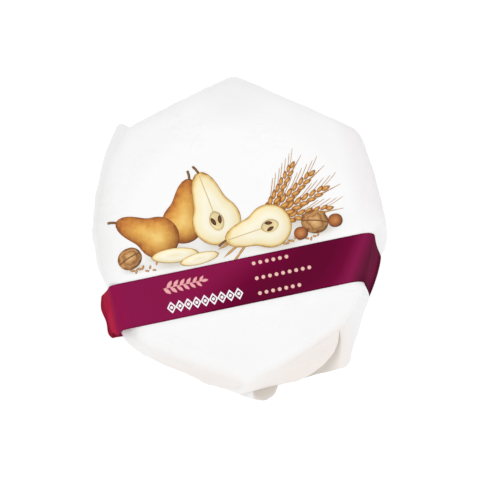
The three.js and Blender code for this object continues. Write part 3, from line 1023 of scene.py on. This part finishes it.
def new_material(name, roughness, specular, index=1.45, **surface):
    """A paper material: its tree, its shader, and the tone of its surface."""
    material = bpy.data.materials.new(name)
    material.use_nodes = True
    tree = material.node_tree
    shader = tree.nodes["Principled BSDF"]
    paper = node(tree, "ShaderNodeGroup", titled(surface), node_tree=PAPER_SURFACE)
    bump = node(tree, "ShaderNodeBump", {
        "Height": paper.outputs["Height"], "Strength": BUMP_STRENGTH, "Distance": BUMP_DISTANCE * MM})
    fill(tree, shader, {"Roughness": roughness, "Specular IOR Level": specular, "IOR": index,
                        "Normal": bump.outputs[0]})
    return material, tree, shader, paper.outputs["Tone"]


def wrapper_material():
    material, tree, shader, tone = new_material(
        "white_wrapping_paper", roughness=0.55, specular=0.25,
        mottle_scale=55.0, mottle_amount=0.03, crease_amount=0.5)
    # Painted warm light from the near side on the walls
    colour = painted(tree, tint(*WHITE), WARM_LIT_WHITE, attribute(tree, "warm_light"))
    # Painted shade on the right and left rims, tinted pink and sage grey
    rim = product(tree, axis_range(tree, "Y", *RIM_SHADES_Y), axis_range(tree, "Z", *RIM_SHADES_Z))
    for start, end, strength, rim_shade_colour in PAINTED_RIM_SHADES:
        share = product(tree, rim, axis_range(tree, "X", start, end, 0.0, strength))
        colour = painted(tree, colour, rim_shade_colour, share)
    # The sheet's inner side deep in the pleats, darkened with painted shade
    colour = painted(tree, colour, LINING_AND_SHADE, attribute(tree, "lining_and_shade"))
    colour = painted(tree, colour, FOLD_SHADE, product(tree, attribute(tree, "fold"), FOLD_DEPTH))
    on_top = axis_range(tree, "Z", *TOP_FACE)
    # The print's pictured shadows, and painted shade at the far corner
    shadows = [(*shadow, GROUND_SHADE) for shadow in GROUND_SHADOWS] + [(*FAR_SHADOW, FAR_SHADE)]
    for middle, reach, strength, shadow_colour in shadows:
        spot = node(tree, "ShaderNodeGroup", {
            "Middle": in_frame(*middle, PACK_HEIGHT), "Reach": Vector((*reach, 10)) * MM,
        }, node_tree=SOFT_SPOT)
        share = product(tree, spot.outputs[0], on_top, strength)
        colour = painted(tree, colour, shadow_colour, share)
    # Painted shade of the face towards its far edges
    far = axis_range(tree, "Y", *EDGE_SHADE_Y)
    towards_edge = from_range(tree, attribute(tree, "edge"), EDGE_SHADE_FROM, 1.0)
    shade = from_range(tree, product(tree, towards_edge, far), 0.0, 1.0, 1.0, EDGE_SHADE)
    # Painted shade of the paper on the near side of the band
    near = axis_range(tree, "Y", *NEAR_Y, 1.0, NEAR_SHADE)
    toned = scaled(tree, scaled(tree, colour, tone), product(tree, shade, near))
    fill(tree, shader, {"Base Color": toned})
    return material


def band_material():
    material, tree, shader, tone = new_material(
        "wine_red_paper", roughness=0.42, specular=0.5, index=1.01,
        mottle_scale=120.0, mottle_amount=0.1, crease_amount=0.12)
    place = node(tree, "ShaderNodeSeparateXYZ", {0: position(tree)}).outputs
    rising = axis_range(tree, "X", *TOP_SLANT_X, 0.0, TOP_SLANT)
    falling = axis_range(tree, "X", *RIGHT_SLANT_X, 0.0, TOP_SLANT - RIGHT_SLANT)
    off_middle = calc(tree, "SUBTRACT", place["Y"], BAND_MIDDLE_Y * MM)
    slanted = product(tree, calc(tree, "SUBTRACT", rising, falling), off_middle)
    along = node(tree, "ShaderNodeMapRange", {
        "Value": calc(tree, "SUBTRACT", place["X"], slanted),
        "From Min": -BAND_REACH * MM, "From Max": BAND_REACH * MM}).outputs[0]
    # The band's wine colour with painted light: brighter on the loose left end, a painted highlight at the
    # right crease
    colour = ramp(tree, along, [((x + BAND_REACH) / (2 * BAND_REACH), shade) for x, shade in BAND_COLOURS_AND_SHEEN])
    # Painted shade on the band's right end, towards its near tip
    right_tip = product(tree, axis_range(tree, "X", *RIGHT_TIP_X), axis_range(tree, "Y", *RIGHT_TIP_Y))
    from_middle = calc(tree, "ABSOLUTE", calc(tree, "SUBTRACT", attribute(tree, "across"), 0.5))
    inside = from_range(tree, from_middle, 0.5 - BAND_RIM, 0.5 - BAND_RIM / 3, 1.0, RIM_TONE)
    shade = product(tree, inside, calc(tree, "MULTIPLY_ADD", right_tip, -RIGHT_TIP_SHADE, 1.0))
    # Painted shade where the band turns in under the pack
    foot_shading = product(tree, axis_range(tree, "Z", *FOOT_BOTTOM_Z),
                        axis_range(tree, "Z", *FOOT_TOP_Z, 1.0 - FOOT_SHADE, 0.0))
    blotches = calc(tree, "SUBTRACT", noise_texture(tree, BLOTCH_SCALE, 1.0, (1, 0.6, 0.5)), 0.5)
    foot = calc(tree, "SUBTRACT", 1.0, foot_shading)
    blotched = calc(tree, "MULTIPLY_ADD", blotches, axis_range(tree, "X", *BLOTCH_X), foot)
    shaded = scaled(tree, colour, product(tree, shade, blotched))
    fill(tree, shader, {"Base Color": scaled(tree, shaded, tone)})
    return material


def ink_material(name, stops, speck, speck_scale=900.0, stretch=(1, 1, 1), specular=0.25):
    """Printed ink, its colours from the middle of a shape to its rim, with specks in them."""
    material, tree, shader, tone = new_material(name, INK_ROUGHNESS, specular, mottle_amount=0.03)
    noisy = calc(tree, "SUBTRACT", noise_texture(tree, speck_scale, 3.0, stretch), 0.5)
    place = calc(tree, "ADD", attribute(tree, "rim"), product(tree, noisy, speck))
    lit = product(tree, attribute(tree, "light"), tone)
    fill(tree, shader, {"Base Color": scaled(tree, ramp(tree, place, stops), lit)})
    return material


# The printed still life: pears, walnuts and ears of grain

def print_height(points):
    return face_height(points) + PRINT_LIFT


def band_height(points):
    return print_height(points) + BAND_LIFT + BAND_SHEET / 2


def print_piece(name, shape, material, layer, ground=print_height):
    """A thin film of ink that lies on what it is printed on."""
    points = shape["points"].copy()
    points[:, 2] += ground(points) + layer * LAYER_LIFT
    piece = make_mesh(name, points, shape["faces"], material, dict(rim=shape["rim"], light=shape["light"]))
    thicken(piece, FILM, 1)
    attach(piece, "root")


def core(size, degrees):
    """A pear's core, with the line from it to the neck."""
    line = strip([(0, 0), (0.9 * size, 0.02), (2.0 * size, 0.1)], 0.3)
    return placed(joined([flat_oval("core", size), placed(line, lift=0.004)]), degrees=degrees)


def seeds(size, degrees):
    """Two seeds side by side in a pear's core."""
    seed = flat_oval("seed", size)
    pair = joined([placed(seed, (0.02 * size, side * 0.14 * size), side * 14) for side in (-1, 1)])
    return placed(pair, degrees=degrees)


def stem(size, degrees):
    """A stem at the end of a pear's neck."""
    line = strip([(0, 0), (1.6, 0.25), (2.9, 1.1)], 0.75)
    return placed(line, polar(size * (1 + PEAR_NECK) - STEM_SUNK, degrees), degrees)


def slices(size, degrees):
    """Two slices of a pear, the short one partly over the other."""
    short = placed(flat_oval("short_slice", size), (7.5, -1.9), 8, lift=0.01)
    return placed(joined([flat_oval("slice", size), short]), degrees=degrees)


def seam(size, degrees):
    """The seam of a walnut."""
    return placed(strip([(-size, -0.1), (0, size * 0.22), (size, 0.05)], 0.4), degrees=degrees)


def ear(kernel, material):
    """Ear of grain along X: awns behind two rows of kernels, and a kernel at its tip."""
    awn = strip([(0, 0), (5, 0.2), (10.5, 1.3)], 0.24, 8)
    awns = in_row(awn, material, count=KERNELS, spacing=KERNEL_STEP, side_step=0.5, lean=12.0, taper=0.35,
                  wander=0.15, lift_step=0.0003, seed=3)
    kernels = in_row(kernel, material, count=KERNELS, spacing=KERNEL_STEP, side_step=1.0, lean=20.0,
                     taper=0.3, wander=0.12, lift_step=0.0005, seed=5)
    tip = placed(kernel, (KERNELS * KERNEL_STEP + 0.5, 0), scale=0.75, lift=0.014)
    return joined([awns, placed(kernels, lift=0.006), tip])


def print_still_life():
    ink = {name: ink_material(name + "_ink", **settings) for name, settings in INKS.items()}

    def show(name, shape, sort, layer):
        print_piece(name, shape, ink[sort], layer)

    kernel = flat_oval("kernel")
    head = ear(kernel, ink["grain"])
    ears, stalks = [], []
    for k, (degrees, size) in enumerate(EARS):
        start = EARS_FROM + polar(EAR_START, degrees)
        foot = EARS_FROM - polar(STALK_LENGTH, degrees * 0.7 + 6)
        ears.append(placed(head, start, degrees, size, lift=0.006 * k))
        stalk = strip([foot, EARS_FROM, start + polar(2, degrees)], 0.7)
        stalks.append(placed(stalk, lift=0.004 * k))
    show("printed_stalks", joined(stalks), "grain", 0)
    show("printed_ears", joined(ears), "grain", 1)

    for name, things, make, lift, sort, layer in (
            ("golden_pears", GOLDEN_PEARS, partial(flat_pear, PEAR_STEEPNESS), 0.01, "skin", 2),
            ("pear_halves", PEAR_HALVES, partial(flat_pear, HALF_STEEPNESS), 0.015, "flesh", 5),
            ("cores", PEAR_HALVES, core, 0.015, "core", 7),
            ("seeds", PEAR_HALVES, seeds, 0.015, "seed", 8),
            ("stems", GOLDEN_PEARS + PEAR_HALVES, stem, 0, "stem", 7),
            ("slices", PEAR_SLICES, slices, 0, "flesh", 7),
            ("walnuts", WALNUTS, partial(flat_oval, "walnut"), 0.01, "walnut", 5),
            ("walnut_seams", WALNUTS, seam, 0, "stem", 7),
            ("hazelnuts", HAZELNUTS, partial(flat_oval, "hazelnut"), 0, "hazelnut", 8)):
        show("printed_" + name, stacked(things, make, lift), sort, layer)

    loose = []
    for k, (middle, spread, count) in enumerate(LOOSE_GRAINS):
        row = in_row(placed(kernel, degrees=25, scale=0.42), ink["grain"], count=count,
                     spacing=spread / count, side_step=0.35, lean=40.0, taper=0.2, wander=0.9,
                     lift_step=0.001, seed=11 + k)
        loose.append(placed(row, (middle[0] - spread / 2, middle[1])))
    show("printed_grains", joined(loose), "grain", 6)


def print_band_ornament():
    """A sprig, a chain of lozenges and three rows of dots."""
    def show(name, shape, sort):
        ink = ink_material(name + "_ink", BAND_INKS[sort], speck=0.1, specular=0.1)
        print_piece(name, shape, ink, 1, band_height)

    blank = bpy.data.materials.new("row_blank")
    leaf = placed(flat_oval("leaf"), (1.1, 0))
    length = SPRIG["to"] - SPRIG["start"]
    spacing = (length - SPRIG["tip"]) / SPRIG["leaves"]
    leaves = in_row(leaf, blank, count=SPRIG["leaves"], spacing=spacing, side_step=0.2, lean=46.0, taper=0.25)
    tip = placed(leaf, (SPRIG["leaves"] * spacing - 0.4, 0), scale=0.8)
    vine = strip([(-0.6, 0), (length / 2, 0.15), (length - 2.2, 0)], 0.34)
    show("printed_sprig", placed(joined([leaves, tip, vine]), (SPRIG["start"], SPRIG["y"])), "salmon")

    link = joined([flat_oval("lozenge", hole=CHAIN["hole"]), flat_oval("lozenge_dot")])
    spacing = (CHAIN["to"] - CHAIN["start"]) / CHAIN["lozenges"]
    chain = in_row(link, blank, count=CHAIN["lozenges"], spacing=spacing)
    show("printed_lozenges", placed(chain, (CHAIN["start"] + spacing / 2, CHAIN["y"])), "white")

    rows = []
    for y, count in zip(DOT_ROWS["y"], DOT_ROWS["counts"]):
        row = in_row(flat_oval("dot"), blank, count=count, spacing=DOT_ROWS["spacing"])
        rows.append(placed(row, (DOT_ROWS["start"], y)))
    show("printed_dots", joined(rows), "peach")
    bpy.data.materials.remove(blank)


# Pieces

PAPER_SURFACE = paper_surface()
SOFT_SPOT = soft_spot()
ROW_TREE = row_tree()

white = wrapper_material()
wrapper_points, wrapper_values = wrapping_paper()
ends = np.array([[0, 0, face_height(np.zeros(3))], [0, 0, LEAST_HEIGHT]])
all_points = np.concatenate([ends[:1], wrapper_points.reshape(-1, 3), ends[1:]])
wrapper = make_mesh("wrapper", all_points, closed_faces(*wrapper_points.shape[:2]), white,
                    {key: np.pad(value.ravel(), 1) for key, value in wrapper_values.items()}, sharp=45)
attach(wrapper, "root")
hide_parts("wrapped_cheese")

tip_points, tip_lining_and_shade = loose_tip()
plain = np.zeros(tip_lining_and_shade.shape)
tip = make_mesh("loose_tip", tip_points, sheet_faces(*tip_lining_and_shade.shape), white,
                dict(lining_and_shade=tip_lining_and_shade, warm_light=plain, fold=plain, edge=plain))
thicken(tip, TIP_THICKNESS, 0)
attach(tip, "root")

band_points = paper_band()
band_across = np.broadcast_to(np.linspace(0, 1, BAND_ACROSS), band_points.shape[:2])
band = make_mesh("paper_band", band_points, sheet_faces(*band_points.shape[:2]), band_material(),
                 dict(across=band_across), sharp=60)
thicken(band, BAND_SHEET, 0)
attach(band, "root")
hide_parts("band")

print_still_life()
print_band_ornament()

# Floor, lit a little from within so that it stays plain and pale
floor_mesh = bpy.data.meshes.new("floor")
floor_corners = [(-1, -1, 0), (1, -1, 0), (1, 1, 0), (-1, 1, 0)]
floor_mesh.from_pydata([Vector(corner) * FLOOR_HALF for corner in floor_corners], [], [(0, 1, 2, 3)])
pale = bpy.data.materials.new("pale_floor")
pale.use_nodes = True
fill(pale.node_tree, pale.node_tree.nodes["Principled BSDF"], {
    "Base Color": (*[FLOOR_SHARE] * 3, 1), "Roughness": FLOOR_ROUGHNESS,
    "Emission Color": (1, 1, 1, 1), "Emission Strength": FLOOR_GLOW})
floor_mesh.materials.append(pale)
floor = new_object("floor", floor_mesh)

# Light
world = bpy.data.worlds.new("studio")
world.use_nodes = True
fill(world.node_tree, world.node_tree.nodes["Background"], {"Color": (1, 1, 1, 1), "Strength": SKY})
bpy.context.scene.world = world
for name, given in LIGHTS.items():
    data = bpy.data.lights.new(name, "AREA")
    data.shape = "DISK"
    data.size = given["size"]
    data.energy = given["power"]
    light = new_object(name, data)
    light.location = given["place"]
    light.rotation_euler = (-Vector(given["place"])).to_track_quat("-Z", "Y").to_euler()

# Camera
azimuth, elevation = math.radians(CAMERA_AZIMUTH), math.radians(CAMERA_ELEVATION)
back = Vector((math.sin(azimuth) * math.cos(elevation), -math.cos(azimuth) * math.cos(elevation),
               math.sin(elevation)))
right_way = Vector((math.cos(azimuth), math.sin(azimuth), 0))
up_way = back.cross(right_way)
camera_data = bpy.data.cameras.new("camera")
camera_data.sensor_width = SENSOR
camera_data.lens = SENSOR * CAMERA_DISTANCE / (PIXEL * IMAGE_SIZE)
camera = new_object("camera", camera_data)
shift_right = (IMAGE_SIZE / 2 - TOP_MIDDLE_PIXEL[0]) * PIXEL
shift_up = (TOP_MIDDLE_PIXEL[1] - IMAGE_SIZE / 2) * PIXEL
camera.location = (in_frame(0, 0, PACK_HEIGHT) + right_way * shift_right + up_way * shift_up
                   + back * CAMERA_DISTANCE)
camera.rotation_mode = "QUATERNION"
camera.rotation_quaternion = (-back).to_track_quat("-Z", "Y")
bpy.context.scene.camera = camera
bpy.context.scene.view_settings.view_transform = "Standard"
